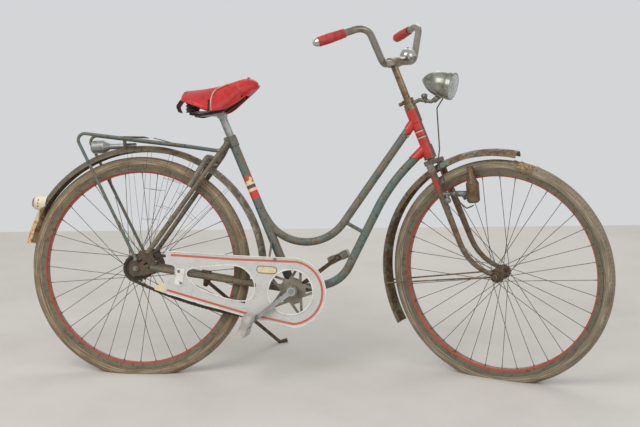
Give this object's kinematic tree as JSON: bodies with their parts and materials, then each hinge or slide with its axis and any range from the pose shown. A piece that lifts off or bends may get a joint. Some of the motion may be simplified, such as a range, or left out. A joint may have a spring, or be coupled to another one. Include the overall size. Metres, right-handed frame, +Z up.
{
  "type": "step-through bicycle",
  "caption": "Worn step-through roadster bicycle with mudguards, rack, chain guard, dynamo lamp and side stand, leaning on the stand with its bars turned right.",
  "frame": {"origin": "bottom centre of the bounding box, on the floor", "axes": "+X forward along the frame, +Y to the left side it leans to, +Z up"},
  "size_m": [1.8484, 0.6744, 1.0977],
  "materials": {
    "alloy": "oxidised alloy",
    "brass": "tarnished brass",
    "chrome": "tarnished chrome",
    "cream": "cream paint with rust",
    "dark": "greasy dark steel",
    "guard": "pale grey paint with a red line",
    "lens": "dull glass",
    "paint": "worn teal paint faded to rust",
    "red_leather": "worn red cover",
    "red_paint": "worn red paint",
    "red_plastic": "faded red grips",
    "rusty": "rusted steel",
    "steel": "dull plated steel",
    "tyre": "perished rubber",
    "wire": "brown cable"
  },
  "bodies": {
    "frame": {"bottom_bracket": "paint", "brake_arm": "rusty", "chain": "dark", "chain_guard": "guard", "chain_stays": "paint", "down_tube": "paint", "dropouts": "paint", "frame_brackets": "steel", "frame_lock": "steel", "head_tube": "red_paint", "headset_cups": "brass", "rack_clip": "rusty", "rack_frame": "paint", "rear_axle": "steel", "rear_fender": "paint", "rear_lamp": "cream", "rear_lamp_lens": "lens", "saddle_bag": "red_leather", "saddle_clamp": "alloy", "saddle_cover": "red_leather", "saddle_frame": "dark", "seat_post": "alloy", "seat_stays": "paint", "seat_tube": "paint", "stand_clamp": "rusty", "tie_strut": "paint", "top_tube": "paint", "torch_tube": "alloy"},
    "fork": {"bell": "chrome", "dynamo": "rusty", "fender_stays": "rusty", "fork_blades": "rusty", "fork_brackets": "steel", "fork_crown": "steel", "front_axle": "rusty", "front_fender": "rusty", "grip_caps": "chrome", "grips": "red_plastic", "handlebar": "chrome", "headset_nut": "brass", "lamp_lens": "lens", "lamp_shell": "alloy", "lamp_wire": "wire", "stem": "chrome"},
    "front_wheel": {"front_hub": "rusty", "front_rim": "paint", "front_tyre": "tyre"},
    "rear_wheel": {"rear_hub": "dark", "rear_rim": "paint", "rear_sprocket": "dark", "rear_tyre": "tyre"},
    "cranks": {"chainring": "steel", "crank_axle": "steel", "crank_left": "rusty", "crank_right": "steel"},
    "pedal_right": {"pedal_right": "steel"},
    "pedal_left": {"pedal_left": "steel"},
    "stand": {"stand_leg": "rusty"}
  },
  "joints": [
    {"name": "steering", "type": "hinge", "parent": "frame", "child": "fork", "pos_m": [0.3723, -0.04828, 0.68714], "axis": [-0.3746, 0.1769, 0.9101], "range_deg": [-51.5, 98.5]},
    {"name": "front_wheel_spin", "type": "hinge", "parent": "fork", "child": "front_wheel", "pos_m": [0.59436, -0.14748, 0.33324], "axis": [0.3697, 0.9287, -0.0284], "continuous": true},
    {"name": "rear_wheel_spin", "type": "hinge", "parent": "frame", "child": "rear_wheel", "pos_m": [-0.54788, -0.11773, 0.32983], "axis": [0, 0.9816, -0.1908], "continuous": true},
    {"name": "crank_spin", "type": "hinge", "parent": "frame", "child": "cranks", "pos_m": [-0.05188, -0.13013, 0.26602], "axis": [0, 0.9816, -0.1908], "continuous": true},
    {"name": "pedal_right_spin", "type": "hinge", "parent": "cranks", "child": "pedal_right", "pos_m": [-0.18279, -0.28084, 0.19299], "axis": [0, 0.9816, -0.1908], "continuous": true},
    {"name": "pedal_left_spin", "type": "hinge", "parent": "cranks", "child": "pedal_left", "pos_m": [0.07902, 0.02057, 0.33905], "axis": [0, 0.9816, -0.1908], "continuous": true},
    {"name": "stand_fold", "type": "hinge", "parent": "frame", "child": "stand", "pos_m": [-0.34388, -0.06564, 0.27285], "axis": [0.2675, 0.6403, 0.7201], "range_deg": [0, 114.3]}
  ]
}
